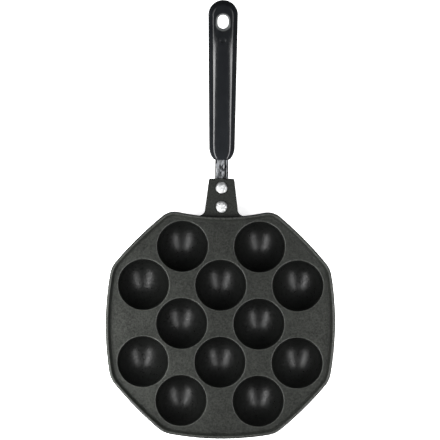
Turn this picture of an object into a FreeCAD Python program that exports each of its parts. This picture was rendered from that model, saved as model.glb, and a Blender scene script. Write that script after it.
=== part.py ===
import FreeCAD, Part
import os
from math import acos, asin, cos, radians, sin, sqrt

# A twelve-cup takoyaki pan for a gas ring: a cast plate with a raised rim and a riveting tab,
# a folded steel tang held by two solid rivets, and a moulded grip held on the tang by one screw.
# Millimetres. +X is to the right, +Y points along the handle, +Z is up.
# The origin is the middle of the cup pattern, on the plane that the cups' feet stand on.

# Cups
cup_step = 32.0  # half the pitch of the square cup grid
cup_mouth_radius = 21.0
cup_depth = 19.0
cup_floor = 2.5  # metal under the deepest point of a cup
cup_wall = 1.9
foot_radius = 6.0  # flat that each cup stands on
dome_bands = 2  # conical bands that follow a sphere outside a cup

# Plate outline: eight bowed sides, counted from +X towards +Y
side_count = 8
tab_side = 2  # the side that faces the handle
side_reach = 95.3  # from the middle of the plate to the middle of a side
side_bow = 243.0
diagonal_reach = 98.75
diagonal_bow = 305.0
tab_side_reach = 88.7  # the side with the tab is dished inwards
tab_side_dish = 170.0
corner_radius = 22.0
tab_corner_radius = 16.0

# Plate section
plate_thickness = 4.2
plate_draft = 1.6  # how far the outer wall leans in from its top to its foot
rim_height = 4.0  # above the field between the cups
rim_top_width = 2.5
rim_foot_width = 4.1
rim_outer_bevel = 0.9
rim_inner_bevel = 0.5
underside_bevel = 0.8

# Riveting tab
tab_length = 31.7  # from the middle of the dished side to the tab's end
tab_root_width = 28.6
tab_end_width = 21.0
tab_rise = 1.0  # top of the tab above the field
tab_thickness = 4.0
tab_flare_radius = 4.5
tab_end_radius = 1.3
tab_bevel = 0.5
tab_bevel_start = 7.3  # the bevel round the tab starts this far from the dished side

# Rivets
rivet_from_tab_end = 7.5  # to the middle of the rivet nearer the grip
rivet_pitch = 15.8
rivet_shank_radius = 2.5
rivet_head_radius = 4.8
rivet_head_height = 1.5
rivet_tail_radius = 4.3
rivet_tail_flat_radius = 2.15
rivet_tail_height = 1.9
rivet_head_edge = 0.7  # height of the upright edge of a rivet's head
rivet_clearance = 0.1

# Tang: steel sheet folded into a flat tube, its seam on top
tang_width = 11.0
tang_height = 4.0
tang_sheet = 1.2
tang_edge_radius = 1.6
tang_seam_offset = 2.9
tang_seam_gap = 0.5
tang_lead = 5.6  # length of tang in front of the rivet nearer the pan
tang_bend_from_tab = 1.6  # from the tab's end to the start of the tang's bend
tang_bend_radius = 30.0
tang_in_grip = 70.0  # length of tang that the grip covers
handle_slope = 8.0  # degrees above the table

# Grip
grip_gap = 10.8  # from the end of the tang's bend to the grip
grip_length = 132.0
grip_front_width = 21.3
grip_rear_width = 24.4
grip_middle_height = 15.0
grip_rear_height = 11.6
grip_crown = 37.0
grip_belly = 26.0
grip_rear_crown = 240.0
grip_edge = 4.3
grip_nose_length = 11.0
grip_nose_width = 14.0
grip_nose_height = 9.0
grip_nose_shares = (0.0, 0.25, 0.6, 1.0)  # where the nose's sections lie, as shares of its length
grip_dip_length = 30.0  # the top falls over this length towards the nose
grip_dip = 1.2
grip_flat_length = 24.0  # flat pad round the hanging hole
socket_clearance = 0.2
hole_width = 9.0
hole_length = 12.0
hole_from_end = 18.0
hole_round = 1.7
dimple_radius = 2.9
dimple_depth = 0.4
dimple_from_end = 32.0

# Screw that holds the grip on the tang
screw_from_nose = 38.0
screw_radius = 1.9
screw_head_radius = 3.6
screw_head_height = 2.2
screw_head_bevel = 0.5
screw_bite = 2.4  # how far the screw reaches into the tang
screw_clearance = 0.2
screw_recess = 1.2  # depth of the screw's head below the grip's underside

# Modelling allowances
overcut = 1.0  # how far a cutting shape runs past the surface it cuts
tolerance = 0.001

# Levels above the table
field_level = cup_floor + cup_depth
underside_level = field_level - plate_thickness
rim_level = field_level + rim_height
tab_level = field_level + tab_rise
tang_level = tab_level - tab_thickness
tang_middle = tang_level - tang_height / 2

# Distances from the middle of the plate
tab_reach = tab_side_reach + tab_length
rivet_far = tab_reach - rivet_from_tab_end
rivet_near = rivet_far - rivet_pitch
tang_start = rivet_near - tang_lead
tang_bend_start = tab_reach + tang_bend_from_tab

X = FreeCAD.Vector(1, 0, 0)
Z = FreeCAD.Vector(0, 0, 1)


def point(x, y, z=0.0):
    return FreeCAD.Vector(x, y, z)


def polygon_face(points):
    return Part.Face(Part.makePolygon(points + points[:1]))


def revolved(profile):
    """A solid of revolution about Z from a closed profile of (radius, height) pairs."""
    face = polygon_face([point(radius, 0, height) for radius, height in profile])
    return face.revolve(point(0, 0), Z, 360)


def cup_centres():
    """Every other node of a five by five grid: rows of two, three, two, three and two."""
    nodes = range(-2, 3)
    return [point(i * cup_step, j * cup_step) for i in nodes for j in nodes if (i + j) % 2]


def sphere_rings(radius, centre_height, first, last, bands):
    """(radius, height) of evenly turned rings on a sphere, between two angles from straight down."""
    turns = [first + (last - first) * k / bands for k in range(bands + 1)]
    return [(radius * sin(turn), centre_height - radius * cos(turn)) for turn in turns]


def crossing(centre_a, radius_a, centre_b, radius_b, towards):
    """The crossing of two circles that lies further along a direction."""
    between = centre_b - centre_a
    gap = between.Length
    along = (radius_a**2 - radius_b**2 + gap**2) / (2 * gap)
    across = sqrt(radius_a**2 - along**2)
    unit = between / gap
    normal = point(-unit.y, unit.x)
    both = [centre_a + unit * along + normal * (side * across) for side in (-1, 1)]
    return max(both, key=lambda place: place.dot(towards))


def outline_sides():
    """(outward direction, centre, radius, sense) of each side's circle. A dished side has sense -1."""
    sides = []
    for k in range(side_count):
        turn = radians(360 * k / side_count)
        outward = point(cos(turn), sin(turn))
        if k == tab_side:
            sides.append((outward, outward * (tab_side_reach + tab_side_dish), tab_side_dish, -1))
        elif k % 2:
            sides.append((outward, outward * (diagonal_reach - diagonal_bow), diagonal_bow, 1))
        else:
            sides.append((outward, outward * (side_reach - side_bow), side_bow, 1))
    return sides


def outline_corner(side, following):
    """(centre, radius) of the round corner between two sides."""
    radius = tab_corner_radius if -1 in (side[3], following[3]) else corner_radius
    centre = crossing(
        side[1],
        side[2] - side[3] * radius,
        following[1],
        following[2] - following[3] * radius,
        side[0] + following[0],
    )
    return centre, radius


def touch(side, corner, inset):
    """Where a side's arc meets a corner's arc, both moved inwards."""
    centre, radius, sense = side[1:]
    return centre + (corner[0] - centre).normalize() * (radius - sense * inset)


def plate_outline(inset, level):
    """The plate's outline as one wire of sixteen tangent arcs, moved inwards and up."""
    sides = outline_sides()
    following = sides[1:] + sides[:1]
    corners = [outline_corner(side, after) for side, after in zip(sides, following)]
    up = Z * level
    edges = []
    for k, side in enumerate(sides):
        outward, centre, radius, sense = side
        start = touch(side, corners[k - 1], inset)
        end = touch(side, corners[k], inset)
        middle = centre + outward * (sense * radius - inset)
        edges.append(Part.Arc(start + up, middle + up, end + up).toShape())
        after = touch(following[k], corners[k], inset)
        corner, corner_round = corners[k]
        bisector = ((end - corner) + (after - corner)).normalize()
        crest = corner + bisector * (corner_round - inset)
        edges.append(Part.Arc(end + up, crest + up, after + up).toShape())
    return Part.Wire(edges)


def level_edges(shape, level, inset):
    """The edges of a plate blank that lie flat at a level, near a given inset."""
    found = []
    for edge in shape.Edges:
        box = edge.BoundBox
        flat = abs(box.ZMin - level) < tolerance and abs(box.ZMax - level) < tolerance
        if flat and near_inset(edge, inset):
            found.append(edge)
    return found


def near_inset(edge, inset):
    gauge = plate_outline(inset, edge.BoundBox.ZMin)
    start = Part.Vertex(edge.valueAt(edge.FirstParameter))
    return gauge.distToShape(start)[0] < 10 * tolerance


def build_tray():
    """The plate without its cups and tab: a drafted slab with a shallow tray in its top."""
    underside = plate_outline(plate_draft, underside_level)
    blank = Part.makeLoft([underside, plate_outline(0, rim_level)], True, True)
    slope = (rim_foot_width - rim_top_width) / rim_height
    field = plate_outline(rim_foot_width, field_level)
    opening = plate_outline(rim_top_width - slope * overcut, rim_level + overcut)
    tray = blank.cut(Part.makeLoft([field, opening], True, True))
    tray = tray.makeChamfer(rim_outer_bevel, level_edges(tray, rim_level, 0))
    tray = tray.makeChamfer(rim_inner_bevel, level_edges(tray, rim_level, rim_top_width))
    return tray.makeChamfer(underside_bevel, level_edges(tray, underside_level, plate_draft))


def flare_centre(root_half, slope):
    """Centre of the round on the +X side that blends the tab's side into the plate's dished side."""
    lean = sqrt(1 + slope**2)
    reach = tab_side_dish - tab_flare_radius
    offset = root_half - slope * tab_side_dish + tab_flare_radius * lean
    depth = (sqrt((lean * reach) ** 2 - offset**2) - offset * slope) / lean**2
    return point(offset + slope * depth, tab_side_reach + tab_side_dish - depth)


def tab_outline(level):
    """The tab seen from above: two leaning sides that flare into the plate, and a straight far end."""
    root_half = tab_root_width / 2
    end_half = tab_end_width / 2
    slope = (root_half - end_half) / tab_length
    flare = flare_centre(root_half, slope)
    side_normal = point(-1, -slope).normalize()
    side_touch = flare + side_normal * tab_flare_radius
    dish_centre = point(0, tab_side_reach + tab_side_dish)
    outward = (flare - dish_centre).normalize()
    plate_touch = flare + outward * tab_flare_radius
    flare_middle = flare + (side_normal + outward).normalize() * tab_flare_radius
    sunk = dish_centre + outward * (tab_side_dish + rim_top_width / 2)
    sunk_middle = point(0, tab_side_reach - rim_top_width / 2)
    end_corner = point(end_half, tab_reach)
    right = [
        Part.makeLine(sunk, plate_touch),
        Part.Arc(plate_touch, flare_middle, side_touch).toShape(),
        Part.makeLine(side_touch, end_corner),
    ]
    mirror = [edge.mirror(point(0, 0), X) for edge in right]
    edges = right + mirror
    edges.append(Part.makeLine(end_corner, point(-end_half, tab_reach)))
    edges.append(Part.Arc(point(-sunk.x, sunk.y), sunk_middle, sunk).toShape())
    wire = Part.Wire(Part.sortEdges(edges)[0])
    return wire.translated(Z * level)


def build_tab():
    """The riveting tab, with round far corners and a bevel along its top, clear of the rim."""
    tab = Part.Face(tab_outline(tang_level)).extrude(Z * tab_thickness)
    corners = [edge for edge in tab.Edges if is_end_corner(edge)]
    tab = tab.makeFillet(tab_end_radius, corners)
    top = [edge for edge in tab.Edges if is_bevelled(edge)]
    return tab.makeChamfer(tab_bevel, top)


def is_end_corner(edge):
    box = edge.BoundBox
    return box.ZLength > tab_thickness / 2 and abs(box.YMin - tab_reach) < tolerance


def is_bevelled(edge):
    box = edge.BoundBox
    return abs(box.ZMin - tab_level) < tolerance and box.YMin > tab_side_reach + tab_bevel_start


def build_dome(centre):
    """The outside of one cup, from its flat foot up into the plate."""
    radius = cup_sphere_radius() + cup_wall
    middle = sqrt(radius**2 - foot_radius**2)
    top = underside_level + plate_thickness / 2
    first = asin(foot_radius / radius)
    last = acos((middle - top) / radius)
    rings = sphere_rings(radius, middle, first, last, dome_bands)
    profile = [(0, 0)] + rings + [(0, top)]
    return revolved(profile).translated(centre)


def cup_sphere_radius():
    return (cup_mouth_radius**2 + cup_depth**2) / (2 * cup_depth)


def build_bowl(centre):
    """The space inside one cup: part of a sphere up to the mouth, and a neck up to the rim's level."""
    radius = cup_sphere_radius()
    middle = cup_floor + radius
    mouth = acos((middle - field_level) / radius)
    ball = [point(r, 0, z) for r, z in sphere_rings(radius, middle, 0, mouth, 2)]
    top = field_level + rim_height
    corners = [ball[-1], point(cup_mouth_radius, 0, top), point(0, 0, top), ball[0]]
    edges = [Part.Arc(*ball).toShape()]
    edges += [Part.makeLine(a, b) for a, b in zip(corners, corners[1:])]
    return Part.Face(Part.Wire(edges)).revolve(point(0, 0), Z, 360).translated(centre)


def drilled(shape, radius, places, low, high):
    """The shape with an upright round hole at each place."""
    holes = [Part.makeCylinder(radius, high - low, place + Z * low) for place in places]
    return shape.cut(Part.makeCompound(holes))


def rivet_places():
    return [point(0, rivet_near), point(0, rivet_far)]


def build_pan_plate():
    domes = [build_dome(centre) for centre in cup_centres()]
    body = build_tray().multiFuse([build_tab()] + domes)
    body = body.cut(Part.makeCompound([build_bowl(centre) for centre in cup_centres()]))
    hole_radius = rivet_shank_radius + rivet_clearance
    return drilled(body, hole_radius, rivet_places(), tang_level - overcut, tab_level + overcut)


def build_rivet(place):
    """A solid rivet: a low domed head on the tab, a shank, and a hammered tail under the tang."""
    bottom = tang_level - tang_height
    head_top = tab_level + rivet_head_height
    head_edge = tab_level + rivet_head_edge
    tail_edge = bottom - rivet_head_edge
    tail_bottom = bottom - rivet_tail_height
    profile = [
        point(0, 0, tail_bottom),
        point(rivet_tail_flat_radius, 0, tail_bottom),
        point(rivet_tail_radius, 0, tail_edge),
        point(rivet_tail_radius, 0, bottom),
        point(rivet_shank_radius, 0, bottom),
        point(rivet_shank_radius, 0, tab_level),
        point(rivet_head_radius, 0, tab_level),
        point(rivet_head_radius, 0, head_edge),
    ]
    sides = [Part.makeLine(a, b) for a, b in zip(profile, profile[1:])]
    crown_rise = rivet_head_height - rivet_head_edge
    crown_radius = (rivet_head_radius**2 + crown_rise**2) / (2 * crown_rise)
    halfway = rivet_head_radius / 2
    halfway_level = head_top - crown_radius + sqrt(crown_radius**2 - halfway**2)
    sides.append(Part.Arc(profile[-1], point(halfway, 0, halfway_level), point(0, 0, head_top)).toShape())
    sides.append(Part.makeLine(point(0, 0, head_top), profile[0]))
    face = Part.Face(Part.Wire(sides))
    return face.revolve(point(0, 0), Z, 360).translated(place)


def rounded_box_face(half_width, half_height, radius):
    """A rounded rectangle in the XZ plane, centred on the origin."""
    corners = [(1, 1), (-1, 1), (-1, -1), (1, -1)]
    straight = polygon_face([point(i * half_width, 0, j * half_height) for i, j in corners])
    solid = straight.extrude(point(0, 1))
    upright = [edge for edge in solid.Edges if edge.BoundBox.YLength > tolerance]
    rounded = solid.makeFillet(radius, upright)
    return min(rounded.Faces, key=lambda face: face.CenterOfMass.y)


def tang_section():
    """The folded sheet in section: a flat tube whose edges meet in a seam on top."""
    half_width = tang_width / 2
    half_height = tang_height / 2
    outside = rounded_box_face(half_width, half_height, tang_edge_radius)
    inside_edge = tang_edge_radius - tang_sheet
    inside = rounded_box_face(half_width - tang_sheet, half_height - tang_sheet, inside_edge)
    low = tang_seam_offset - tang_seam_gap / 2
    high = tang_seam_offset + tang_seam_gap / 2
    corners = [(low, 0), (high, 0), (high, tang_height), (low, tang_height)]
    seam = polygon_face([point(x, 0, z) for x, z in corners])
    return outside.cut(inside).cut(seam).Faces[0]


def handle_placement():
    """From the handle's own frame, straight along +Y from the end of the tang's bend, to the pan's."""
    turn = radians(handle_slope)
    end = point(
        0,
        tang_bend_start + tang_bend_radius * sin(turn),
        tang_middle + tang_bend_radius * (1 - cos(turn)),
    )
    return FreeCAD.Placement(end, FreeCAD.Rotation(X, handle_slope))


def build_tang():
    """The folded tang: flat under the tab, bent up once, then straight into the grip."""
    section = tang_section()
    flat_face = section.translated(point(0, tang_start, tang_middle))
    flat = flat_face.extrude(point(0, tang_bend_start - tang_start))
    bend_face = section.translated(point(0, tang_bend_start, tang_middle))
    bend = bend_face.revolve(point(0, tang_bend_start, tang_middle + tang_bend_radius), X, handle_slope)
    arm = section.extrude(point(0, grip_gap + tang_in_grip))
    arm = arm.cut(Part.makeCylinder(screw_radius, tang_height, point(0, screw_along(), -tang_height)))
    arm.Placement = handle_placement()
    tang = flat.multiFuse([bend, arm]).removeSplitter()
    hole_radius = rivet_shank_radius + rivet_clearance
    bottom = tang_level - tang_height
    return drilled(tang, hole_radius, rivet_places(), bottom - overcut, tang_level + overcut)


def screw_along():
    return grip_gap + screw_from_nose


def grip_section(along, half_width, half_height, crown, belly):
    """A section of the grip: crowned top and belly, joined by round edges to upright sides."""
    top = edge_round(half_width, half_height, crown)
    bottom = [(x, -z) for x, z in reversed(edge_round(half_width, half_height, belly))]
    left_top = [(-x, z) for x, z in reversed(top)]
    left_bottom = [(-x, z) for x, z in reversed(bottom)]
    runs = [
        top,
        [top[-1], (0, half_height), left_top[0]],
        left_top,
        [left_top[-1], left_bottom[0]],
        left_bottom,
        [left_bottom[-1], (0, -half_height), bottom[0]],
        bottom,
        [bottom[-1], top[0]],
    ]
    return Part.Wire([edge_through([point(x, along, z) for x, z in run]) for run in runs])


def edge_round(half_width, half_height, crown):
    """Start, middle and end of the round that joins an upright side to a crowned top."""
    crown_reach = crown - grip_edge
    centre_x = half_width - grip_edge
    centre_z = half_height - crown + sqrt(crown_reach**2 - centre_x**2)
    lean = asin(centre_x / crown_reach)
    middle = (radians(90) - lean) / 2
    return [
        (half_width, centre_z),
        (centre_x + grip_edge * cos(middle), centre_z + grip_edge * sin(middle)),
        (centre_x + grip_edge * sin(lean), centre_z + grip_edge * cos(lean)),
    ]


def edge_through(points):
    """A line through two points, or an arc through three."""
    if len(points) == 2:
        return Part.makeLine(*points)
    return Part.Arc(*points).toShape()


def grip_stations():
    """(distance from the nose, half width, half height, crown, belly) along the grip."""
    rear = grip_length - grip_rear_width / 2
    flat_start = rear - grip_flat_length
    front_half = grip_front_width / 2
    rear_half = grip_rear_width / 2
    taper = (rear_half - front_half) / (rear - grip_nose_length)
    dip_half = front_half + taper * (grip_dip_length - grip_nose_length)
    flat_half = front_half + taper * (flat_start - grip_nose_length)
    half_height = grip_middle_height / 2
    stations = nose_stations(front_half, half_height - grip_dip)
    stations.append((grip_dip_length, dip_half, half_height, grip_crown, grip_belly))
    stations.append((flat_start, flat_half, half_height, grip_crown, grip_belly))
    stations.append((rear, rear_half, grip_rear_height / 2, grip_rear_crown, grip_rear_crown))
    return stations


def nose_stations(full_half_width, full_half_height):
    """The stations of the rounding nose, which swells like a quarter of an ellipse."""
    half_width = grip_nose_width / 2
    half_height = grip_nose_height / 2
    stations = []
    for share in grip_nose_shares:
        swell = sqrt(1 - (1 - share) ** 2)
        wide = half_width + (full_half_width - half_width) * swell
        high = half_height + (full_half_height - half_height) * swell
        stations.append((grip_nose_length * share, wide, high, grip_crown, grip_belly))
    return stations


def build_grip():
    """The moulded grip in its own frame, then set on the tang."""
    wires = [grip_section(*station) for station in grip_stations()]
    main = Part.makeLoft(wires, True, True)
    grip = main.fuse(grip_end(wires[-1])).removeSplitter()
    for cutter in (socket_cutter(), hanging_hole_cutter(), dimple_cutter(), screw_cutter()):
        grip = grip.cut(cutter)
    grip = grip.translated(point(0, grip_gap))
    grip.Placement = handle_placement().multiply(grip.Placement)
    return grip


def grip_end(wire):
    """The round end: half of the last section, turned about its upright middle line."""
    rear = grip_length - grip_rear_width / 2
    corner = point(0, rear - overcut, -grip_middle_height)
    right_side = Part.makeBox(grip_rear_width, 2 * overcut, 2 * grip_middle_height, corner)
    half_face = Part.Face(wire).common(right_side)
    return half_face.revolve(point(0, rear), Z, 180)


def socket_cutter():
    """Pocket for the tang, open at the nose."""
    width = tang_width + 2 * socket_clearance
    height = tang_height + 2 * socket_clearance
    depth = tang_in_grip + socket_clearance
    corner = point(-width / 2, -overcut, -height / 2)
    return Part.makeBox(width, depth + overcut, height, corner)


def obround_wire(width, length, level):
    """A level slot's outline about the Z axis, its long way along Y."""
    radius = width / 2
    reach = (length - width) / 2
    end = reach + radius
    runs = [
        [(radius, -reach), (radius, reach)],
        [(radius, reach), (0, end), (-radius, reach)],
        [(-radius, reach), (-radius, -reach)],
        [(-radius, -reach), (0, -end), (radius, -reach)],
    ]
    return Part.Wire([edge_through([point(x, y, level) for x, y in run]) for run in runs])


def hanging_hole_cutter():
    """The hanging hole, flared where it meets the top and the underside of the grip."""
    top = grip_rear_height / 2
    spread = 2 * (hole_round + overcut)
    neck = obround_wire(hole_width, hole_length, top - hole_round)
    mouth = obround_wire(hole_width + spread, hole_length + spread, top + overcut)
    flare = Part.makeLoft([neck, mouth], True, True)
    foot = Part.Face(obround_wire(hole_width, hole_length, -grip_rear_height))
    straight = foot.extrude(Z * 2 * grip_rear_height)
    cutter = straight.multiFuse([flare, flare.mirror(point(0, 0), Z)])
    return cutter.translated(point(0, grip_length - hole_from_end))


def dimple_cutter():
    """The shallow round mark in the grip's top, between its middle and the hanging hole."""
    place = point(0, grip_length - dimple_from_end, grip_rear_height / 2 - dimple_depth)
    return Part.makeCylinder(dimple_radius, grip_middle_height, place)


def screw_cutter():
    """Clearance hole and head recess for the screw, from the grip's underside up to the socket."""
    place = point(0, screw_from_nose, -grip_middle_height)
    hole = Part.makeCylinder(screw_radius + screw_clearance, grip_middle_height, place)
    recess_radius = screw_head_radius + screw_clearance
    recess = Part.makeCylinder(recess_radius, screw_seat() + grip_middle_height, place)
    return hole.fuse(recess)


def screw_seat():
    """Level of the face under the screw's head, in the handle's own frame."""
    return -grip_middle_height / 2 + screw_recess + screw_head_height


def build_grip_screw():
    """Pan-head screw that rises through the grip's underside and bites into the tang's lower wall."""
    seat = screw_seat()
    tip = -tang_height / 2 + screw_bite
    face = seat - screw_head_height
    shank = Part.makeCylinder(screw_radius, tip - seat, point(0, screw_along(), seat))
    head = Part.makeCylinder(screw_head_radius, screw_head_height, point(0, screw_along(), face))
    face_edges = [edge for edge in head.Edges if edge.BoundBox.ZMax < face + tolerance]
    head = head.makeChamfer(screw_head_bevel, face_edges)
    screw = shank.fuse(head).removeSplitter()
    screw.Placement = handle_placement()
    return screw


def build_parts():
    near_rivet, far_rivet = rivet_places()
    return {
        "pan_plate": build_pan_plate(),
        "tang": build_tang(),
        "rivet_near_pan": build_rivet(near_rivet),
        "rivet_near_grip": build_rivet(far_rivet),
        "grip": build_grip(),
        "grip_screw": build_grip_screw(),
    }


os.makedirs("parts", exist_ok=True)
for name, shape in build_parts().items():
    shape.exportStep("parts/" + name + ".step")
    print(name, shape.ShapeType, len(shape.Solids), shape.isValid(), round(shape.Volume))
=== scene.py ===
from math import acos, asin, cos, pi, radians, sin, sqrt

import bmesh
import bpy
from mathutils import Matrix, Vector, noise
from mathutils.geometry import delaunay_2d_cdt


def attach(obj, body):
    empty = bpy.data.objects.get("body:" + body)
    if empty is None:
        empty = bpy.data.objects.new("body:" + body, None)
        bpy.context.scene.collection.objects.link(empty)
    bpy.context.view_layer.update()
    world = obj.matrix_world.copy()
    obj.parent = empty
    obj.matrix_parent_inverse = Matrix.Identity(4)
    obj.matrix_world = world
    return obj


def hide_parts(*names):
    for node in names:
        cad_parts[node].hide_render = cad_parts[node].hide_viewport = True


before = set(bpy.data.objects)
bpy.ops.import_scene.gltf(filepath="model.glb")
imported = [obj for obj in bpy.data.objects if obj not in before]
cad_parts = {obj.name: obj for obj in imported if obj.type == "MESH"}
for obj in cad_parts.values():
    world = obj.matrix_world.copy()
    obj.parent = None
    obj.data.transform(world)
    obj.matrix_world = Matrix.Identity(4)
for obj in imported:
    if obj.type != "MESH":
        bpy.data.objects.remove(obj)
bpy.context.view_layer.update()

MM = 0.001

# Sizes in millimetres. The main ones are the same as the solids'
SIDES = 8
TAB_SIDE = 2
CUP_STEP = 32.0
MOUTH_RADIUS = 21.0
CUP_DEPTH = 19.0
CUP_FLOOR = 2.5
CUP_WALL = 1.9
FOOT_RADIUS = 6.0
MOUTH_ROUND = 0.8
SIDE_REACH = 95.3
SIDE_BOW = 243.0
DIAGONAL_REACH = 98.75
DIAGONAL_BOW = 305.0
TAB_SIDE_REACH = 88.7
TAB_SIDE_DISH = 170.0
CORNER_RADIUS = 22.0
TAB_CORNER_RADIUS = 16.0
PLATE_THICKNESS = 4.2
PLATE_DRAFT = 1.6
RIM_HEIGHT = 4.0
RIM_TOP_WIDTH = 2.5
RIM_FOOT_WIDTH = 4.1
RIM_LEAN = 22.0
RIM_FOOT_FILLET = 1.4
RIM_INNER_ROUND = 0.7
RIM_OUTER_ROUND = 1.25
WALL_FOOT_ROUND = 1.0
FIELD_MARGIN = 0.15
CREST_TRIM = 0.1
CREST_MARGIN = 0.02
TAB_REACH = 120.4
TAB_ROOT_WIDTH = 28.6
TAB_END_WIDTH = 21.0
TAB_RISE = 1.0
TAB_THICKNESS = 4.0
TAB_FLARE = 4.5
TAB_FLARE_START = 1.0
TAB_CORNER = 1.4
TAB_EDGE_ROUND = 0.6
RIVET_NEAR = 97.1
RIVET_PITCH = 15.8
RIVET_HEAD_RADIUS = 4.8
RIVET_TAIL_RADIUS = 4.3
RIVET_SHANK_RADIUS = 2.5
TANG_HEIGHT = 4.0
SEAM_OFFSET = 2.9
TANG_BEND_START = 122.0
TANG_BEND_RADIUS = 30.0
HANDLE_SLOPE = 8.0
GRIP_GAP = 10.8
GRIP_LENGTH = 132.0

FIELD = CUP_FLOOR + CUP_DEPTH
UNDERSIDE = FIELD - PLATE_THICKNESS
RIM = FIELD + RIM_HEIGHT
TAB_TOP = FIELD + TAB_RISE
TAB_UNDER = TAB_TOP - TAB_THICKNESS


# Mesh helpers

WELD = 1e-6  # metres
SHEET_MERGE = 1e-7  # millimetres
CONSTRAINED = 1  # the triangulation's mode that leaves out what is past the outer ring
HOLE_SLACK = 0.999  # share of a hole's reach within which a triangle lies in the hole


def new_object(name, vertices, faces, materials, face_materials=None, smooth=40.0):
    """A mesh object from millimetre vertices. Edges that turn more than smooth degrees stay sharp."""
    mesh = bpy.data.meshes.new(name)
    mesh.from_pydata([Vector(v) * MM for v in vertices], [], faces)
    for material in materials:
        mesh.materials.append(material)
    if face_materials:
        mesh.polygons.foreach_set("material_index", face_materials)
    piece = bpy.data.objects.new(name, mesh)
    bpy.context.collection.objects.link(piece)
    tidy_mesh(mesh, smooth)
    return piece


def tidy_mesh(mesh, smooth):
    """Welds doubled points, turns all faces outwards and shades smoothly up to an angle."""
    work = bmesh.new()
    work.from_mesh(mesh)
    bmesh.ops.remove_doubles(work, verts=work.verts, dist=WELD)
    bmesh.ops.recalc_face_normals(work, faces=work.faces)
    for face in work.faces:
        face.smooth = True
    work.to_mesh(mesh)
    work.free()
    mesh.set_sharp_from_angle(angle=radians(smooth))


class Builder:
    """Collects vertices and faces of one mesh, with a material number for each face."""

    def __init__(self):
        self.vertices = []
        self.faces = []
        self.numbers = []

    def ring(self, points):
        start = len(self.vertices)
        self.vertices.extend(points)
        return list(range(start, start + len(points)))

    def face(self, corners, number=0):
        self.faces.append(corners)
        self.numbers.append(number)

    def band(self, low, high, number=0):
        """Quads between two closed rings of equal count."""
        count = len(low)
        for k in range(count):
            j = (k + 1) % count
            self.face([low[k], low[j], high[j], high[k]], number)

    def skin(self, rings, number=0):
        for low, high in zip(rings, rings[1:]):
            self.band(low, high, number)

    def fan(self, ring, centre, number=0):
        middle = len(self.vertices)
        self.vertices.append(centre)
        for k in range(len(ring)):
            self.face([ring[k], ring[(k + 1) % len(ring)], middle], number)

    def sheet(self, outer, round_holes, number=0):
        """A flat sheet between an outer ring and the rings of its round holes."""
        loops = [outer] + round_holes
        ids = [i for loop in loops for i in loop]
        flat = [self.flat_point(i) for i in ids]
        edges = []
        start = 0
        for loop in loops:
            count = len(loop)
            edges += [(start + k, start + (k + 1) % count) for k in range(count)]
            start += count
        made = delaunay_2d_cdt(flat, edges, [], CONSTRAINED, SHEET_MERGE)
        spots, _, triangles, origins, _, _ = made
        holes = [middle_and_reach([self.flat_point(i) for i in loop]) for loop in round_holes]
        for triangle in triangles:
            middle = sum((spots[i] for i in triangle), Vector((0, 0))) / 3
            if all((middle - centre).length > reach * HOLE_SLACK for centre, reach in holes):
                self.face([ids[origins[i][0]] for i in triangle], number)

    def flat_point(self, i):
        return Vector(self.vertices[i][:2])


def middle_and_reach(points):
    middle = sum(points, Vector((0, 0))) / len(points)
    return middle, max((point - middle).length for point in points)


# Plate outline

def crossing(centre_a, radius_a, centre_b, radius_b, towards):
    """The one of two circles' crossings that lies further in a direction."""
    between = centre_b - centre_a
    gap = between.length
    along = (radius_a**2 - radius_b**2 + gap**2) / (2 * gap)
    across = sqrt(radius_a**2 - along**2)
    unit = between / gap
    normal = Vector((-unit.y, unit.x))
    both = [centre_a + unit * along + normal * (side * across) for side in (-1, 1)]
    return max(both, key=lambda place: place.dot(towards))


def outline_sides():
    """(outward direction, arc's centre, arc's radius, 1 if bowed or -1 if dished) of each side."""
    sides = []
    for k in range(SIDES):
        turn = radians(360 / SIDES * k)
        outward = Vector((cos(turn), sin(turn)))
        if k == TAB_SIDE:
            sides.append((outward, outward * (TAB_SIDE_REACH + TAB_SIDE_DISH), TAB_SIDE_DISH, -1))
        elif k % 2:
            sides.append((outward, outward * (DIAGONAL_REACH - DIAGONAL_BOW), DIAGONAL_BOW, 1))
        else:
            sides.append((outward, outward * (SIDE_REACH - SIDE_BOW), SIDE_BOW, 1))
    return sides


def outline_corner(side, following):
    """Centre and radius of the arc that rounds the corner between two sides."""
    radius = TAB_CORNER_RADIUS if -1 in (side[3], following[3]) else CORNER_RADIUS
    centre = crossing(
        side[1],
        side[2] - side[3] * radius,
        following[1],
        following[2] - following[3] * radius,
        side[0] + following[0],
    )
    return centre, radius


def arc_points(centre, start, end, radius, count):
    """Points on an arc about a centre from one direction to another, without the last."""
    first = (start - centre).normalized()
    last = (end - centre).normalized()
    turn = first.angle_signed(last)
    points = []
    for k in range(count):
        angle = -turn * k / count
        across = first.x * cos(angle) - first.y * sin(angle)
        along = first.x * sin(angle) + first.y * cos(angle)
        points.append(centre + Vector((across, along)) * radius)
    return points


def outline(inset, side_count=22, corner_count=12):
    """The plate's outline moved inwards, as points that match from one inset to another."""
    sides = outline_sides()
    corners = [outline_corner(sides[k], sides[(k + 1) % SIDES]) for k in range(SIDES)]
    points = []
    for k, (_, centre, radius, sense) in enumerate(sides):
        moved = radius - sense * inset
        start = centre + (corners[k - 1][0] - centre).normalized() * moved
        end = centre + (corners[k][0] - centre).normalized() * moved
        after_centre, after_radius, after_sense = sides[(k + 1) % SIDES][1:]
        towards_corner = (corners[k][0] - after_centre).normalized()
        after = after_centre + towards_corner * (after_radius - after_sense * inset)
        points += arc_points(centre, start, end, moved, side_count)
        points += arc_points(corners[k][0], end, after, corners[k][1] - inset, corner_count)
    return points


def quarter(centre, radius, first, last, steps):
    """(across, up) on an arc given by angles in degrees."""
    turns = [radians(first + (last - first) * k / steps) for k in range(steps + 1)]
    return [(centre[0] + radius * cos(t), centre[1] + radius * sin(t)) for t in turns]


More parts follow.
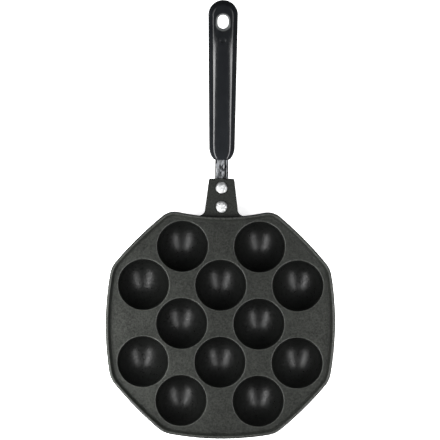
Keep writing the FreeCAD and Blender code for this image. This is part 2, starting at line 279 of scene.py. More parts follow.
FILLET_TURNS = (0, 0.25, 0.5, 0.75, 1.0, 1.15)


def rim_profile():
    """(inset, height) from the field over the rim and down the outer wall to the underside."""
    lean = radians(RIM_LEAN)
    foot = RIM_FOOT_WIDTH + RIM_FOOT_FILLET * (1 - sin(lean)) / cos(lean)
    middle = FIELD + RIM_FOOT_FILLET
    profile = [(foot + FIELD_MARGIN, FIELD)]
    for t in FILLET_TURNS:
        profile.append((foot - RIM_FOOT_FILLET * sin(t), middle - RIM_FOOT_FILLET * cos(t)))
    crest_end = RIM_TOP_WIDTH - CREST_TRIM - RIM_INNER_ROUND
    profile += quarter((crest_end, RIM - RIM_INNER_ROUND), RIM_INNER_ROUND, first=20, last=90, steps=5)
    profile += [(RIM_OUTER_ROUND + CREST_MARGIN, RIM)]
    outer = (RIM_OUTER_ROUND, RIM - RIM_OUTER_ROUND)
    profile += quarter(outer, RIM_OUTER_ROUND, first=90, last=176, steps=8)[1:]
    wall_foot = (PLATE_DRAFT + WALL_FOOT_ROUND, UNDERSIDE + WALL_FOOT_ROUND)
    profile += quarter(wall_foot, WALL_FOOT_ROUND, first=186, last=270, steps=5)
    return profile


# Plate

SEGMENTS = 96
BOWL_STEPS = 26
DOME_STEPS = 22
FOOT_TURN = 1.12  # where the dome stops, as a share of the foot's own angle
FOOT_EDGE = ((1.02, 0.02), (0.94, 0))  # share of the foot's radius, height
LIP_TURNS = (0, 0.25, 0.5, 0.75, 1.0, 1.25, 1.45)
RIM_CREST = range(8, 16)  # bands of the rim's profile over its crest, which take the lighter, glossier edge coat (painted light)
ON_FIELD, IN_BOWL, BELOW, ON_EDGE = range(4)  # places in the plate's list of materials


def circle(centre, radius, level):
    turns = [2 * pi * k / SEGMENTS for k in range(SEGMENTS)]
    return [(centre[0] + radius * cos(t), centre[1] + radius * sin(t), level) for t in turns]


def cup_centres():
    """The odd places of a square grid, like one colour of a chessboard."""
    nodes = range(-2, 3)
    return [(i * CUP_STEP, j * CUP_STEP) for i in nodes for j in nodes if (i + j) % 2]


def bowl_radius():
    return (MOUTH_RADIUS**2 + CUP_DEPTH**2) / (2 * CUP_DEPTH)


def bowl_rings(build, centre):
    """The inside of a cup from its rounded mouth to its pole. Returns the ring that meets the field."""
    radius = bowl_radius()
    middle = CUP_FLOOR + radius
    mouth = acos((middle - FIELD) / radius)
    lip = [
        (MOUTH_RADIUS + MOUTH_ROUND * (1 - sin(t)), FIELD - MOUTH_ROUND * (1 - cos(t)))
        for t in LIP_TURNS
    ]
    first = mouth - MOUTH_ROUND / radius
    turns = [first * (1 - k / BOWL_STEPS) for k in range(BOWL_STEPS)]
    ball = [(radius * sin(t), middle - radius * cos(t)) for t in turns]
    field_ring = build.ring(circle(centre, lip[0][0], FIELD))
    previous = field_ring
    for k, (r, z) in enumerate(lip[1:] + ball):
        ring = build.ring(circle(centre, r, z))
        build.band(previous, ring, ON_EDGE if k < len(lip) - 1 else IN_BOWL)
        previous = ring
    build.fan(previous, (centre[0], centre[1], CUP_FLOOR), IN_BOWL)
    return field_ring


def dome_rings(build, centre):
    """The outside of a cup from the plate's underside to its foot. Returns the ring on the underside."""
    radius = bowl_radius() + CUP_WALL
    middle = sqrt(radius**2 - FOOT_RADIUS**2)
    high = acos((middle - UNDERSIDE) / radius)
    low = asin(FOOT_RADIUS / radius) * FOOT_TURN
    turns = [high + (low - high) * k / DOME_STEPS for k in range(DOME_STEPS + 1)]
    profile = [(radius * sin(t), middle - radius * cos(t)) for t in turns]
    profile += [(FOOT_RADIUS * share, z) for share, z in FOOT_EDGE]
    rings = [build.ring(circle(centre, r, z)) for r, z in profile]
    build.skin(rings, BELOW)
    build.fan(rings[-1], (centre[0], centre[1], 0), BELOW)
    return rings[0]


def make_plate(materials):
    """The casting without its tab: rim, outer wall, field with twelve bowls, and underside."""
    build = Builder()
    rings = [build.ring([(p.x, p.y, z) for p in outline(inset)]) for inset, z in rim_profile()]
    for k, (low, high) in enumerate(zip(rings, rings[1:])):
        build.band(low, high, ON_EDGE if k in RIM_CREST else ON_FIELD)
    build.sheet(rings[0], [bowl_rings(build, c) for c in cup_centres()], ON_FIELD)
    build.sheet(rings[-1], [dome_rings(build, c) for c in cup_centres()], BELOW)
    return new_object("plate", build.vertices, build.faces, materials, build.numbers, smooth=35)


# Tab

TAB_OVERLAP = 1.2
TAB_ROWS = 70
TAB_COLUMNS = 44
TAB_END_ROWS = (0.25, 0.08, 0)
HUMP_START = 113.0
HUMP_HEIGHT = 0.55
HUMP_HALF_WIDTH = 5.0
HUMP_SPREAD = 3.0


def tab_half_width(y):
    """Half the tab's width at a distance from the middle of the plate, with its flare and end corners."""
    slope = (TAB_ROOT_WIDTH - TAB_END_WIDTH) / 2 / (TAB_REACH - TAB_SIDE_REACH)
    half = TAB_ROOT_WIDTH / 2 - slope * (y - TAB_SIDE_REACH)
    flare_top = TAB_SIDE_REACH + TAB_FLARE_START + TAB_FLARE
    if y < flare_top:
        drop = min(flare_top - y, TAB_FLARE)
        half += TAB_FLARE - sqrt(TAB_FLARE**2 - drop**2)
    beyond = y - (TAB_REACH - TAB_CORNER)
    if beyond > 0:
        half -= TAB_CORNER - sqrt(max(TAB_CORNER**2 - beyond**2, 0))
    return half


def hump(x, y):
    """The tab's top swells a little over the tang at its far end."""
    along = min(max((y - HUMP_START) / (TAB_REACH - HUMP_START), 0), 1)
    width = HUMP_HALF_WIDTH + HUMP_SPREAD * (1 - along)
    across = min(abs(x) / width, 1)
    return HUMP_HEIGHT * along**2 * (0.5 + 0.5 * cos(pi * across))


def tab_point(half, k, y, on_top):
    """A point of the tab's top or underside, rolled over near the edges."""
    x = -half * cos(pi * k / TAB_COLUMNS)
    near = min(half - abs(x), TAB_REACH - y)
    inside = max(TAB_EDGE_ROUND - near, 0)
    roll = TAB_EDGE_ROUND - sqrt(max(TAB_EDGE_ROUND**2 - inside**2, 0))
    if on_top:
        return (x, y, TAB_TOP - roll + hump(x, y))
    return (x, y, TAB_UNDER + roll)


def tab_grid(build, rows, on_top):
    grid = []
    for y in rows:
        half = tab_half_width(y)
        grid.append(build.ring([tab_point(half, k, y, on_top) for k in range(TAB_COLUMNS + 1)]))
    return grid


def make_tab(material):
    """The riveting tab: two skins over one plan, their edges rolled over to meet in upright sides."""
    build = Builder()
    low_y = TAB_SIDE_REACH - TAB_OVERLAP
    rows = [low_y + (TAB_REACH - low_y) * k / TAB_ROWS for k in range(TAB_ROWS)]
    rows += [TAB_REACH - back for back in TAB_END_ROWS]
    rows.sort()
    top = tab_grid(build, rows, True)
    under = tab_grid(build, rows, False)
    for grid in (top, under):
        for a, b in zip(grid, grid[1:]):
            for k in range(TAB_COLUMNS):
                build.face([a[k], a[k + 1], b[k + 1], b[k]])
    for a, b, c, d in zip(top, top[1:], under, under[1:]):
        build.face([a[0], b[0], d[0], c[0]])
        build.face([a[-1], b[-1], d[-1], c[-1]])
    for row in (0, -1):
        for k in range(TAB_COLUMNS):
            build.face([top[row][k], top[row][k + 1], under[row][k + 1], under[row][k]])
    return new_object("riveting_tab", build.vertices, build.faces, [material], smooth=50)


# Rivets

HEAD_TOP = 1.5
HEAD_PROFILE = ((1.2, 1.48), (2.4, 1.36), (3.4, 1.16), (4.2, 0.92), (4.62, 0.66))  # radius, height
HEAD_EDGE = 0.34
HEAD_UNDERCUT = 0.05
TAIL_EDGE = 0.5
TAIL_CROWN = ((0.86, 1.1), (0.5, 1.75))  # share of the tail's radius, depth
TAIL_DEPTH = 1.9
WOBBLE = 0.10
WOBBLE_SCALE = 0.35
DENT = 0.12
DENT_SCALE = 0.6
DENT_SEED_STEP = 9


def rivet_profile(bottom):
    """(radius, height) from the head's crown down its shank to the set tail."""
    profile = [(r, TAB_TOP + up) for r, up in HEAD_PROFILE]
    profile += [(RIVET_HEAD_RADIUS, TAB_TOP + HEAD_EDGE), (RIVET_HEAD_RADIUS - HEAD_UNDERCUT, TAB_TOP)]
    profile += [(RIVET_SHANK_RADIUS, TAB_TOP), (RIVET_SHANK_RADIUS, bottom)]
    profile += [(RIVET_TAIL_RADIUS, bottom), (RIVET_TAIL_RADIUS, bottom - TAIL_EDGE)]
    return profile + [(RIVET_TAIL_RADIUS * share, bottom - depth) for share, depth in TAIL_CROWN]


def make_rivet(name, y, material, seed):
    """A set rivet: a slightly uneven low head on the tab, its shank, and a hammered tail under the tang."""
    bottom = TAB_UNDER - TANG_HEIGHT
    build = Builder()
    rings = []
    for r, z in rivet_profile(bottom):
        uneven = z > TAB_TOP + HEAD_EDGE or z < bottom
        line = []
        for x, dy, level in circle((0, 0), r, z):
            spot = Vector((x * WOBBLE_SCALE, dy * WOBBLE_SCALE, seed))
            wobble = WOBBLE * noise.noise(spot) * (r / RIVET_HEAD_RADIUS)
            spot = Vector((x * DENT_SCALE, dy * DENT_SCALE, seed + DENT_SEED_STEP))
            dent = DENT * noise.noise(spot) if uneven else 0
            line.append((x * (1 + wobble), y + dy * (1 + wobble), level + dent))
        rings.append(build.ring(line))
    build.skin(rings)
    build.fan(rings[0], (0, y, TAB_TOP + HEAD_TOP))
    build.fan(rings[-1], (0, y, bottom - TAIL_DEPTH))
    return new_object(name, build.vertices, build.faces, [material], smooth=50)


# Grip, made in the handle's own frame and then set on the tang

def handle_matrix():
    turn = radians(HANDLE_SLOPE)
    tang_middle = TAB_UNDER - TANG_HEIGHT / 2
    y = TANG_BEND_START + TANG_BEND_RADIUS * sin(turn)
    z = tang_middle + TANG_BEND_RADIUS * (1 - cos(turn))
    return Matrix.Translation(Vector((0, y, z)) * MM) @ Matrix.Rotation(turn, 4, "X")


HOLE_FROM_END = 18.0
HOLE_WIDTH = 9.0
HOLE_LENGTH = 12.0
DIMPLE_FROM_END = 32.0
NOSE_LENGTH = 11.0
NOSE_WIDTH = 14.4
NOSE_HEIGHT = 9.0
NOSE_STATIONS = [0, 0.12, 0.4, 0.8, 1.3, 2.0, 2.8, 3.8, 5.0, 6.5, 8.2, 10]
NOSE_ROUNDNESS = 2.4
NOSE_FACE = -0.35
NOSE_FACE_WIDTH = 0.93  # share of the first section's width
NOSE_FACE_HEIGHT = 0.9  # share of the first section's height
FRONT_WIDTH = 21.3
REAR_WIDTH = 24.4
MIDDLE_HEIGHT = 15.0
REAR_HEIGHT = 11.6
DIP = 1.2
DIP_LENGTH = 30.0
DIP_EASE = 1.6
FLAT_LENGTH = 30.0
FLAT_BLEND = 26.0
CROWN = 40.0
BELLY = 26.0
REAR_CROWN = 240.0
EDGE = 4.9
EDGE_LIMIT = 0.93  # share of the half height that the edge's radius may take
BODY_STEPS = 60
END_STEPS = 36
GRIP_SHARP_ANGLE = 32
QUARTER_STEPS = 11
SCREW_ALONG = 38.0
SCREW_WELL_RADIUS = 3.8
SCREW_HOLE_RADIUS = 2.1
SCREW_SEAT_DEPTH = 3.4
SCREW_HOLE_TOP = -1.0
SOCKET_LOW = (-5.7, -2, -2.2)
SOCKET_HIGH = (5.7, 71, 2.2)


def blend(low, high, share):
    """Eases from one value to another as the share goes from 0 to 1."""
    share = min(max(share, 0), 1)
    return low + (high - low) * share * share * (3 - 2 * share)


def grip_shape(s):
    """(half width, half height, crown, belly) of the grip at a distance from its nose."""
    rear = GRIP_LENGTH - REAR_WIDTH / 2
    flat_start = rear - FLAT_LENGTH
    taper = (REAR_WIDTH - FRONT_WIDTH) / 2 / (rear - NOSE_LENGTH)
    half_height = MIDDLE_HEIGHT / 2
    if s < NOSE_LENGTH:
        ahead = 1 - s / NOSE_LENGTH
        swell = sqrt(max(1 - ahead**2, 0))
        width = NOSE_WIDTH / 2 + (FRONT_WIDTH / 2 - NOSE_WIDTH / 2) * (1 - ahead**NOSE_ROUNDNESS)
        height = NOSE_HEIGHT / 2 + (half_height - DIP - NOSE_HEIGHT / 2) * swell
        return width, height, CROWN, BELLY
    width = FRONT_WIDTH / 2 + taper * (s - NOSE_LENGTH)
    if s < DIP_LENGTH:
        left = 1 - (s - NOSE_LENGTH) / (DIP_LENGTH - NOSE_LENGTH)
        height = half_height - DIP * left**DIP_EASE
        return width, height, CROWN, BELLY
    share = (s - flat_start) / FLAT_BLEND
    height = blend(half_height, REAR_HEIGHT / 2, share)
    bend = blend(1 / CROWN, 1 / REAR_CROWN, share)
    belly = blend(1 / BELLY, 1 / REAR_CROWN, share)
    return width, height, 1 / bend, 1 / belly


def grip_quarter(half, top, crown):
    """(x, height) from the crest's middle to the upright side."""
    edge = min(EDGE, EDGE_LIMIT * top)
    centre_x = half - edge
    centre_z = top - crown + sqrt((crown - edge) ** 2 - centre_x**2)
    lean = asin(centre_x / (crown - edge))
    points = []
    for k in range(QUARTER_STEPS):
        turn = lean * k / QUARTER_STEPS
        points.append((crown * sin(turn), top - crown + crown * cos(turn)))
    for k in range(QUARTER_STEPS):
        turn = lean + (pi / 2 - lean) * k / (QUARTER_STEPS - 1)
        points.append((centre_x + edge * sin(turn), centre_z + edge * cos(turn)))
    return points


def grip_ring(s):
    """The right and left halves of the grip's section at a distance from its nose."""
    half, height, crown, belly = grip_shape(s)
    up = grip_quarter(half, height, crown)
    down = grip_quarter(half, height, belly)
    right = up + [(x, -z) for x, z in reversed(down)]
    left = [(-x, z) for x, z in reversed(right[1:-1])]
    return right, left


def round_end(build, body_end):
    """Turns the last section's right half round to its left half and closes the crest and the belly."""
    rear = GRIP_LENGTH - REAR_WIDTH / 2
    right, _ = grip_ring(rear)
    lines = [body_end[1 : len(right) - 1]]
    for k in range(1, END_STEPS):
        turn = pi * k / END_STEPS
        lines.append(build.ring([(x * cos(turn), rear + x * sin(turn), z) for x, z in right[1:-1]]))
    lines.append([body_end[k] for k in range(len(body_end) - 1, len(right) - 1, -1)])
    for a, b in zip(lines, lines[1:]):
        for k in range(len(a) - 1):
            build.face([a[k], a[k + 1], b[k + 1], b[k]])
        build.face([body_end[0], a[0], b[0]])
        build.face([body_end[len(right) - 1], a[-1], b[-1]])


def make_grip(material):
    """The moulding, from its nose through the body to the round end, with its holes cut."""
    build = Builder()
    body = GRIP_LENGTH - REAR_WIDTH / 2 - NOSE_LENGTH
    stations = NOSE_STATIONS + [NOSE_LENGTH + body * k / BODY_STEPS for k in range(BODY_STEPS + 1)]
    rings = []
    for s in stations:
        right, left = grip_ring(s)
        rings.append(build.ring([(x, s, z) for x, z in right + left]))
    first = [build.vertices[i] for i in rings[0]]
    nose = build.ring([(x * NOSE_FACE_WIDTH, NOSE_FACE, z * NOSE_FACE_HEIGHT) for x, _, z in first])
    build.skin([nose] + rings)
    build.face(nose)
    round_end(build, rings[-1])
    grip = new_object("grip_moulding", build.vertices, build.faces, [material])
    cut_grip(grip)
    grip.data.transform(handle_matrix() @ Matrix.Translation((0, GRIP_GAP * MM, 0)))
    return grip


def obround(grow, level, steps=24):
    """The hanging hole's outline, grown by a margin, at a level."""
    radius = (HOLE_WIDTH + 2 * grow) / 2
    reach = (HOLE_LENGTH - HOLE_WIDTH) / 2
    along = GRIP_LENGTH - HOLE_FROM_END
    points = []
    for k in range(2 * steps):
        turn = 2 * pi * k / (2 * steps)
        shift = reach if sin(turn) >= 0 else -reach
        points.append((radius * cos(turn), along + shift + radius * sin(turn), level))
    return points


def cutter(name, outlines):
    """A closed solid through matching outlines, capped at both ends."""
    build = Builder()
    rings = [build.ring(points) for points in outlines]
    build.skin(rings)
    build.face(rings[0])
    build.face(rings[-1])
    return new_object(name, build.vertices, build.faces, [])


def hole_cutter():
    """The hanging hole, with a shallow funnel where it meets the top and the underside."""
    half = REAR_HEIGHT / 2
    funnel = [(1.95, 0.9), (1.95, 0.02), (1.6, -0.03), (0.5, -0.28), (0.2, -0.5), (0.0, -1.1)]
    profile = [(grow, half + up) for grow, up in funnel]
    profile += [(grow, -z) for grow, z in reversed(profile)]
    return cutter("hole_cutter", [obround(grow, z) for grow, z in profile])


def dimple_cutter():
    along = GRIP_LENGTH - DIMPLE_FROM_END
    top = grip_shape(along)[1]
    profile = [(3.3, 1.0), (3.0, 0.0), (2.6, -0.06), (1.8, -0.19), (1.0, -0.25), (0.4, -0.26)]
    return cutter("dimple_cutter", [circle((0, along), r, top + up) for r, up in profile])


def screw_well_cutter():
    """The well that the screw's head sits in, and the screw's hole up to the tang's socket."""
    seat = -MIDDLE_HEIGHT / 2 + SCREW_SEAT_DEPTH
    profile = [(SCREW_WELL_RADIUS, -MIDDLE_HEIGHT), (SCREW_WELL_RADIUS, seat)]
    profile += [(SCREW_HOLE_RADIUS, seat), (SCREW_HOLE_RADIUS, SCREW_HOLE_TOP)]
    return cutter("screw_well_cutter", [circle((0, SCREW_ALONG), r, z) for r, z in profile])


def socket_cutter():
    """The box that the tang fills."""
    xs, ys, zs = zip(SOCKET_LOW, SOCKET_HIGH)
    vertices = [(x, y, z) for z in zs for y in ys for x in xs]
    faces = [[0, 1, 3, 2], [4, 5, 7, 6], [0, 1, 5, 4], [2, 3, 7, 6], [0, 2, 6, 4], [1, 3, 7, 5]]
    return new_object("socket_cutter", vertices, faces, [])


def cut_grip(grip):
    """Cuts the tang's socket, the hanging hole, the dimple and the screw's well."""
    for tool in (socket_cutter(), hole_cutter(), dimple_cutter(), screw_well_cutter()):
        cut = grip.modifiers.new("cut", "BOOLEAN")
        cut.operation = "DIFFERENCE"
        cut.solver = "EXACT"
        cut.object = tool
        apply_modifiers(grip)
        bpy.data.objects.remove(tool)
    grip.data.set_sharp_from_angle(angle=radians(GRIP_SHARP_ANGLE))


def apply_modifiers(piece):
    ready = piece.evaluated_get(bpy.context.evaluated_depsgraph_get())
    mesh = bpy.data.meshes.new_from_object(ready)
    piece.modifiers.clear()
    piece.data = mesh


# Materials. Sizes in them are in metres, and a noise's scale is in blotches per metre

def node_material(name):
    """A material with its shader and the object's coordinates."""
    material = bpy.data.materials.new(name)
    material.use_nodes = True
    tree = material.node_tree
    coords = tree.nodes.new("ShaderNodeTexCoord").outputs["Object"]
    return material, tree, tree.nodes["Principled BSDF"], coords


def add(tree, kind, **values):
    """A node with its properties set by name."""
    node = tree.nodes.new(kind)
    for key, value in values.items():
        setattr(node, key, value)
    return node


def noise_node(tree, coords, scale, detail=3.0, rough=0.55):
    node = tree.nodes.new("ShaderNodeTexNoise")
    node.inputs["Scale"].default_value = scale
    node.inputs["Detail"].default_value = detail
    node.inputs["Roughness"].default_value = rough
    tree.links.new(coords, node.inputs["Vector"])
    return node.outputs["Fac"]


def ramp(tree, value, stops):
    """Colours at given values, blended between them."""
    node = tree.nodes.new("ShaderNodeValToRGB")
    points = node.color_ramp.elements
    while len(points) < len(stops):
        points.new(0.5)
    for element, (place, colour) in zip(points, stops):
        element.position = place
        element.color = (*colour, 1)
    tree.links.new(value, node.inputs["Fac"])
    return node.outputs["Color"]


def spread(tree, value, low, high, from_low=0.0, from_high=1.0):
    """A value carried from one range to another."""
    node = tree.nodes.new("ShaderNodeMapRange")
    node.inputs["From Min"].default_value = from_low
    node.inputs["From Max"].default_value = from_high
    node.inputs["To Min"].default_value = low
    node.inputs["To Max"].default_value = high
    tree.links.new(value, node.inputs["Value"])
    return node.outputs["Result"]


def bump(tree, height, strength, distance, normal=None):
    node = tree.nodes.new("ShaderNodeBump")
    node.inputs["Strength"].default_value = strength
    node.inputs["Distance"].default_value = distance
    tree.links.new(height, node.inputs["Height"])
    if normal:
        tree.links.new(normal, node.inputs["Normal"])
    return node.outputs["Normal"]


def maths(tree, operation, first, *numbers):
    """A math node on one linked value and plain numbers."""
    node = add(tree, "ShaderNodeMath", operation=operation)
    tree.links.new(first, node.inputs[0])
    for k, number in enumerate(numbers):
        node.inputs[k + 1].default_value = number
    return node.outputs["Value"]


def scaled_sum(tree, first, factor, second):
    """One linked value times a number, plus another linked value."""
    node = add(tree, "ShaderNodeMath", operation="MULTIPLY_ADD")
    tree.links.new(first, node.inputs[0])
    node.inputs[1].default_value = factor
    tree.links.new(second, node.inputs[2])
    return node.outputs["Value"]


def separate(tree, coords):
    node = tree.nodes.new("ShaderNodeSeparateXYZ")
    tree.links.new(coords, node.inputs["Vector"])
    return node.outputs


def coat_material(name, base, rough, gloss, grain, grain_depth, contrast):
    """A dark non-stick coat on a casting: sandy grain, cloudy tone and slightly uneven sheen."""
    material, tree, shader, coords = node_material(name)
    sand = noise_node(tree, coords, scale=1 / grain, detail=5.0, rough=0.7)
    cloud = noise_node(tree, coords, scale=60.0)
    speck = scaled_sum(tree, sand, 0.75, spread(tree, cloud, low=0.06, high=0.19))
    dark = [c * (1 - contrast) for c in base]
    light = [c * (1 + contrast) for c in base]
    tree.links.new(ramp(tree, speck, [(0.38, dark), (0.62, light)]), shader.inputs["Base Color"])
    sheen = spread(tree, sand, low=rough - 0.08, high=rough + 0.08, from_low=0.35, from_high=0.65)
    tree.links.new(sheen, shader.inputs["Roughness"])
    swell = noise_node(tree, coords, scale=90.0, detail=2.0)
    wave = bump(tree, swell, strength=0.2, distance=0.0004)
    grained = bump(tree, sand, strength=0.6, distance=grain_depth, normal=wave)
    tree.links.new(grained, shader.inputs["Normal"])
    shader.inputs["Specular IOR Level"].default_value = gloss
    return material


DULL_START = 0.218
DULL_END = 0.242
DULLING = 0.09
# Painted highlight: a pale ring painted on the grip round the hanging hole's rim, for the light its funnel
# catches.
HOLE_HIGHLIGHT_NEAR = 0.0004  # past the edge of the hanging hole
HOLE_HIGHLIGHT_FAR = 0.0017
HOLE_RING_HIGHLIGHT = (0.15, 0.155, 0.155, 1)


def hole_highlight_ring(tree, place):
    """Mask of the painted highlight ring: 1 at the edge of the hanging hole, falling to 0 a little way out
    on the flat.
    """
    middle = Vector((0, GRIP_GAP + GRIP_LENGTH - HOLE_FROM_END, REAR_HEIGHT / 2))
    hole = handle_matrix() @ (middle * MM)
    away = maths(tree, "ABSOLUTE", maths(tree, "SUBTRACT", place["Y"], hole.y))
    straight = (HOLE_LENGTH - HOLE_WIDTH) / 2 * MM
    past = maths(tree, "MAXIMUM", maths(tree, "SUBTRACT", away, straight), 0.0)
    spot = tree.nodes.new("ShaderNodeCombineXYZ")
    tree.links.new(place["X"], spot.inputs["X"])
    tree.links.new(past, spot.inputs["Y"])
    reach = add(tree, "ShaderNodeVectorMath", operation="LENGTH")
    tree.links.new(spot.outputs["Vector"], reach.inputs[0])
    edge = HOLE_WIDTH / 2 * MM
    near = edge + HOLE_HIGHLIGHT_NEAR
    far = edge + HOLE_HIGHLIGHT_FAR
    return spread(tree, reach.outputs["Value"], low=1.0, high=0.0, from_low=near, from_high=far)


def phenolic_material():
    """Glossy black phenolic, duller on the flat round the hanging hole, with a pale painted highlight ring
    at the hole's rim.
    """
    material, tree, shader, coords = node_material("phenolic")
    place = separate(tree, coords)
    flat = spread(tree, place["Y"], low=0.0, high=1.0, from_low=DULL_START, from_high=DULL_END)
    mottle = noise_node(tree, coords, scale=220.0, detail=4.0, rough=0.6)
    glossy = spread(tree, mottle, low=0.08, high=0.13, from_low=0.3, from_high=0.7)
    tree.links.new(scaled_sum(tree, flat, DULLING, glossy), shader.inputs["Roughness"])
    tree.links.new(spread(tree, flat, low=0.5, high=0.2), shader.inputs["Specular IOR Level"])
    stops = [(0.3, (0.0065, 0.0072, 0.0085)), (0.7, (0.0095, 0.0105, 0.0122))]
    tone = ramp(tree, noise_node(tree, coords, scale=80.0), stops)
    # Pale colour mixed in round the hole's rim: the painted highlight ring.
    ring_highlight = add(tree, "ShaderNodeMix", data_type="RGBA")
    tree.links.new(hole_highlight_ring(tree, place), ring_highlight.inputs["Factor"])
    colours = [socket for socket in ring_highlight.inputs if socket.type == "RGBA"]
    tree.links.new(tone, colours[0])
    colours[1].default_value = HOLE_RING_HIGHLIGHT
    mixed = [socket for socket in ring_highlight.outputs if socket.type == "RGBA"]
    tree.links.new(mixed[0], shader.inputs["Base Color"])
    swell = noise_node(tree, coords, scale=45.0, detail=1.0)
    wave = bump(tree, swell, strength=0.12, distance=0.0006)
    tree.links.new(bump(tree, mottle, strength=0.05, distance=0.0001, normal=wave), shader.inputs["Normal"])
    return material


SPANGLE_SCALE = 640.0
SPANGLE_STRETCH = (1.4, 0.6, 1.0)
SEAM_SHADE_NEAR = 0.0003
SEAM_SHADE_FAR = 0.0009


def spangle(tree, coords):
    """A grey value that differs from one zinc crystal to the next."""
    stretch = add(tree, "ShaderNodeVectorMath", operation="MULTIPLY")
    tree.links.new(coords, stretch.inputs[0])
    stretch.inputs[1].default_value = SPANGLE_STRETCH
    cells = tree.nodes.new("ShaderNodeTexVoronoi")
    cells.inputs["Scale"].default_value = SPANGLE_SCALE
    tree.links.new(stretch.outputs["Vector"], cells.inputs["Vector"])
    grey = tree.nodes.new("ShaderNodeRGBToBW")
    tree.links.new(cells.outputs["Color"], grey.inputs["Color"])
    return grey.outputs["Val"]


def galvanised_material():
    """Zinc-coated steel: crystal spangle of differing tone and sheen, painted shade along the fold's gap,
    and rippled.
    """
    material, tree, shader, coords = node_material("galvanised_steel")
    grey = spangle(tree, coords)
    tone = ramp(tree, grey, [(0.25, (0.022, 0.023, 0.025)), (0.85, (0.36, 0.37, 0.385))])
    place = separate(tree, coords)
    # Painted shade: the colour darkens to a narrow line along the tang's folded joint, for the shade in its
    # gap.
    apart = maths(tree, "ABSOLUTE", maths(tree, "SUBTRACT", place["X"], SEAM_OFFSET * MM))
    seam_shade = spread(tree, apart, low=0.04, high=1.0, from_low=SEAM_SHADE_NEAR, from_high=SEAM_SHADE_FAR)
    shade = add(tree, "ShaderNodeVectorMath", operation="SCALE")
    tree.links.new(tone, shade.inputs[0])
    tree.links.new(seam_shade, shade.inputs["Scale"])
    tree.links.new(shade.outputs["Vector"], shader.inputs["Base Color"])
    shader.inputs["Metallic"].default_value = 1.0
    tree.links.new(spread(tree, grey, low=0.28, high=0.5), shader.inputs["Roughness"])
    ripple = noise_node(tree, coords, scale=320.0)
    tree.links.new(bump(tree, ripple, strength=0.6, distance=0.0005), shader.inputs["Normal"])
    return material


def rivet_material():
    """Bright soft aluminium with fine scratches and small dents."""
    material, tree, shader, coords = node_material("rivet_aluminium")
    stops = [(0.35, (0.42, 0.43, 0.43)), (0.6, (0.80, 0.80, 0.80))]
    tree.links.new(ramp(tree, noise_node(tree, coords, scale=620.0), stops), shader.inputs["Base Color"])
    shader.inputs["Metallic"].default_value = 1.0
    scratch = noise_node(tree, coords, scale=900.0)
    tree.links.new(spread(tree, scratch, low=0.42, high=0.6), shader.inputs["Roughness"])
    dents = noise_node(tree, coords, scale=500.0)
    tree.links.new(bump(tree, dents, strength=0.6, distance=0.0006), shader.inputs["Normal"])
    return material


def screw_material():
    """Plain steel of the screw, with a fine turned grain."""
    material, tree, shader, coords = node_material("screw_steel")
    grain = noise_node(tree, coords, scale=1200.0)
    shader.inputs["Metallic"].default_value = 1.0
    stops = [(0.3, (0.45, 0.45, 0.46)), (0.7, (0.6, 0.6, 0.6))]
    tree.links.new(ramp(tree, grain, stops), shader.inputs["Base Color"])
    tree.links.new(spread(tree, grain, low=0.25, high=0.4), shader.inputs["Roughness"])
    tree.links.new(bump(tree, grain, strength=0.2, distance=0.0001), shader.inputs["Normal"])
    return material


# Object

field_coat = coat_material(
    "field_coat",
    base=(0.0125, 0.0133, 0.0118),
    rough=0.45,
    gloss=0.11,
    grain=0.0015,
    grain_depth=0.00048,
    contrast=0.62,
)
# The cups take the field's coat about five times darker, with a gloss of their own: the darker colour is
# painted shade in the hollows.
shaded_bowl_coat = coat_material(
    "shaded_bowl_coat",
    base=(0.0024, 0.0026, 0.0024),
    rough=0.345,
    gloss=0.37,
    grain=0.0020,
    grain_depth=0.00010,
    contrast=0.3,
)
# The rim's crest and the cups' lips take the coat about one and a half times lighter, and glossier: the
# lighter colour is painted light on the edges.
lit_edge_coat = coat_material(
    "lit_edge_coat",
    base=(0.019, 0.0202, 0.018),
    rough=0.32,
    gloss=0.45,
    grain=0.0020,
    grain_depth=0.00020,
    contrast=0.35,
)
under_coat = coat_material(
    "underside_coat",
    base=(0.020, 0.021, 0.019),
    rough=0.5,
    gloss=0.4,
    grain=0.0018,
    grain_depth=0.0003,
    contrast=0.4,
)
phenolic = phenolic_material()
zinc = galvanised_material()
aluminium = rivet_material()
steel = screw_material()

plate = make_plate([field_coat, shaded_bowl_coat, under_coat, lit_edge_coat])
tab = make_tab(field_coat)
rivet_near_pan = make_rivet("rivet_near_pan_head", RIVET_NEAR, aluminium, seed=3.0)
rivet_near_grip = make_rivet("rivet_near_grip_head", RIVET_NEAR + RIVET_PITCH, aluminium, seed=17.0)
grip = make_grip(phenolic)

PIECES = (
    (plate, "pan_plate", "coated_casting"),
    (tab, "pan_plate", "coated_casting"),
    (rivet_near_pan, "rivet_near_pan", "rivet_aluminium"),
    (rivet_near_grip, "rivet_near_grip", "rivet_aluminium"),
    (grip, "grip", "phenolic"),
)
for piece, node, slot in PIECES:
    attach(piece, "root")
    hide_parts(node)

for node, material in (("tang", zinc), ("grip_screw", steel)):
    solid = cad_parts[node]
    solid.data.materials.clear()
    solid.data.materials.append(material)


# Stage, lights and camera, in metres

FLOOR_HALF = 4.0
FLOOR_DROP = 0.0002


def floor_material():
    """A plain pale floor that lights itself a little, as a studio sweep does."""
    material, tree, shader, coords = node_material("pale_floor")
    stops = [(0.3, (0.93, 0.93, 0.93)), (0.7, (0.95, 0.95, 0.95))]
    tree.links.new(ramp(tree, noise_node(tree, coords, scale=4.0), stops), shader.inputs["Base Color"])
    shader.inputs["Roughness"].default_value = 0.9
    shader.inputs["Specular IOR Level"].default_value = 0.1
    shader.inputs["Emission Color"].default_value = (1, 1, 1, 1)
    shader.inputs["Emission Strength"].default_value = 0.75
    return material


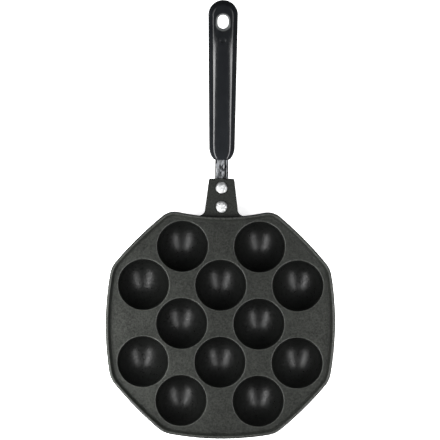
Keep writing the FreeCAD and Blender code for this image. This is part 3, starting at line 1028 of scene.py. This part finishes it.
def make_floor():
    mesh = bpy.data.meshes.new("floor")
    corners = [(-1, -1), (1, -1), (1, 1), (-1, 1)]
    mesh.from_pydata([(x * FLOOR_HALF, y * FLOOR_HALF, 0) for x, y in corners], [], [[0, 1, 2, 3]])
    mesh.materials.append(floor_material())
    sweep = bpy.data.objects.new("floor", mesh)
    sweep.location = (0, 0, -FLOOR_DROP)
    sweep.visible_glossy = False
    bpy.context.collection.objects.link(sweep)
    return sweep


floor = make_floor()

SOFTBOX_NEAR = (0.335, 0.27, 1.0)
SOFTBOX_FAR = (0.50, -1.03, 0.32)
SOFTBOX_WIDTH = 0.16
FILL_HEIGHT = 0.08
AIM_POINT = Vector((0, 0.03, 0))


def softbox(name, side, power):
    """A long softbox at the left (-1) or right (1), facing the plate."""
    start = Vector((side * SOFTBOX_NEAR[0], *SOFTBOX_NEAR[1:]))
    end = Vector((side * SOFTBOX_FAR[0], *SOFTBOX_FAR[1:]))
    middle = (start + end) / 2
    data = bpy.data.lights.new(name, "AREA")
    data.shape = "RECTANGLE"
    data.size = SOFTBOX_WIDTH
    data.size_y = (end - start).length
    data.energy = power
    lamp = bpy.data.objects.new(name, data)
    along = (end - start).normalized()
    aim = (middle - AIM_POINT).normalized()
    aim = (aim - along * aim.dot(along)).normalized()
    across = along.cross(aim)
    lamp.matrix_world = Matrix((
        (across.x, along.x, aim.x, middle.x),
        (across.y, along.y, aim.y, middle.y),
        (across.z, along.z, aim.z, middle.z),
        (0, 0, 0, 1),
    ))
    bpy.context.collection.objects.link(lamp)


def side_fill(name, place, length, power):
    """A low matt fill beside the plate, kept out of the reflections."""
    data = bpy.data.lights.new(name, "AREA")
    data.shape = "RECTANGLE"
    data.size = length
    data.size_y = FILL_HEIGHT
    data.energy = power
    lamp = bpy.data.objects.new(name, data)
    lamp.location = place
    lamp.rotation_euler = Vector(place).to_track_quat("Z", "Y").to_euler()
    lamp.visible_glossy = False
    lamp.visible_camera = False
    bpy.context.collection.objects.link(lamp)


softbox("softbox_left", side=-1, power=8.6)
softbox("softbox_right", side=1, power=6.2)
side_fill("fill_left", (-0.170, -0.035, 0.115), length=0.20, power=1.25)
side_fill("fill_right", (0.170, -0.01, 0.115), length=0.12, power=0.40)

world = bpy.data.worlds.new("studio")
world.use_nodes = True
sky = world.node_tree.nodes["Background"]
sky.inputs["Color"].default_value = (0.97, 0.99, 1.0, 1)
sky.inputs["Strength"].default_value = 0.14
bpy.context.scene.world = world
bpy.context.scene.view_settings.view_transform = "Standard"

# The camera looks straight down, with the photo's scale, shift and slight turn
PHOTO_PIXELS = 440
MM_PER_PIXEL = 0.8284
PLATE_PIXEL = (220.35, 323.85)
PHOTO_TURN = 0.52
CAMERA_HEIGHT = 3.0
SENSOR = 36.0
SIGHT_END = 20.0
half_frame = PHOTO_PIXELS / 2
turn = radians(PHOTO_TURN)
right = (half_frame - PLATE_PIXEL[0]) * MM_PER_PIXEL * MM
up = (PLATE_PIXEL[1] - half_frame) * MM_PER_PIXEL * MM
camera_data = bpy.data.cameras.new("camera")
camera_data.sensor_width = SENSOR
camera_data.lens = SENSOR * (CAMERA_HEIGHT - RIM * MM) / (PHOTO_PIXELS * MM_PER_PIXEL * MM)
camera_data.clip_end = SIGHT_END
camera = bpy.data.objects.new("camera", camera_data)
camera.location = (right * cos(turn) - up * sin(turn), right * sin(turn) + up * cos(turn), CAMERA_HEIGHT)
camera.rotation_euler = (0, 0, turn)
bpy.context.collection.objects.link(camera)
bpy.context.scene.camera = camera
